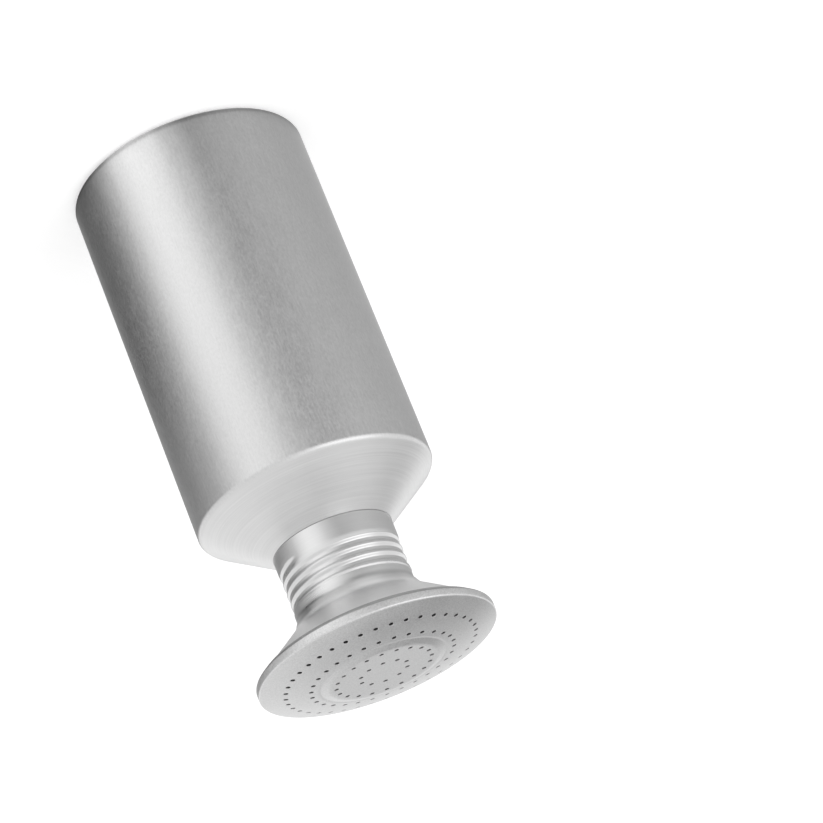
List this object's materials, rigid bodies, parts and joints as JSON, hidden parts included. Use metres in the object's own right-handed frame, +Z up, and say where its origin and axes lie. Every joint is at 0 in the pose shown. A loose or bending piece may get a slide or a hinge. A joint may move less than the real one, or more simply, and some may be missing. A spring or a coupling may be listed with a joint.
{
  "type": "sprinkler shaker bottle",
  "caption": "Aluminium shaker bottle with a conical shoulder and a screw-on horn that carries a domed perforated rose for sprinkling.",
  "frame": {"origin": "centre of the bottle's base, in the plane it stands on", "axes": "+Z up along the bottle's axis to the rose; +X and +Y are free, with the thread's start at -58 degrees from +X"},
  "size_m": [0.086, 0.086, 0.2039],
  "materials": {
    "bottle_metal": "satin, fine brushing along the side, lathe lines on the shoulder",
    "horn_metal": "satin with fine lathe lines around the axis",
    "rose_metal": "fine matt, lightly blasted",
    "seal_rubber": "matt moulded rubber"
  },
  "bodies": {
    "bottle": {"bottle": "bottle_metal"},
    "seal": {"neck_seal": "seal_rubber"},
    "sprinkler_head": {"rose_horn": "horn_metal", "rose_plate": "rose_metal"}
  },
  "joints": [
    {"name": "head_unscrew", "type": "hinge", "parent": "bottle", "child": "seal", "pos_m": [0, 0, 0.1564], "axis": [0, 0, 1], "range_deg": [0, 1368]},
    {"name": "head_rise", "type": "slide", "parent": "seal", "child": "sprinkler_head", "axis": [0, 0, 1], "range_m": [0, 0.0141]}
  ],
  "couplings": [
    {"joint": "head_rise", "follows": "head_unscrew", "m_per_rad": 0.00058887}
  ]
}
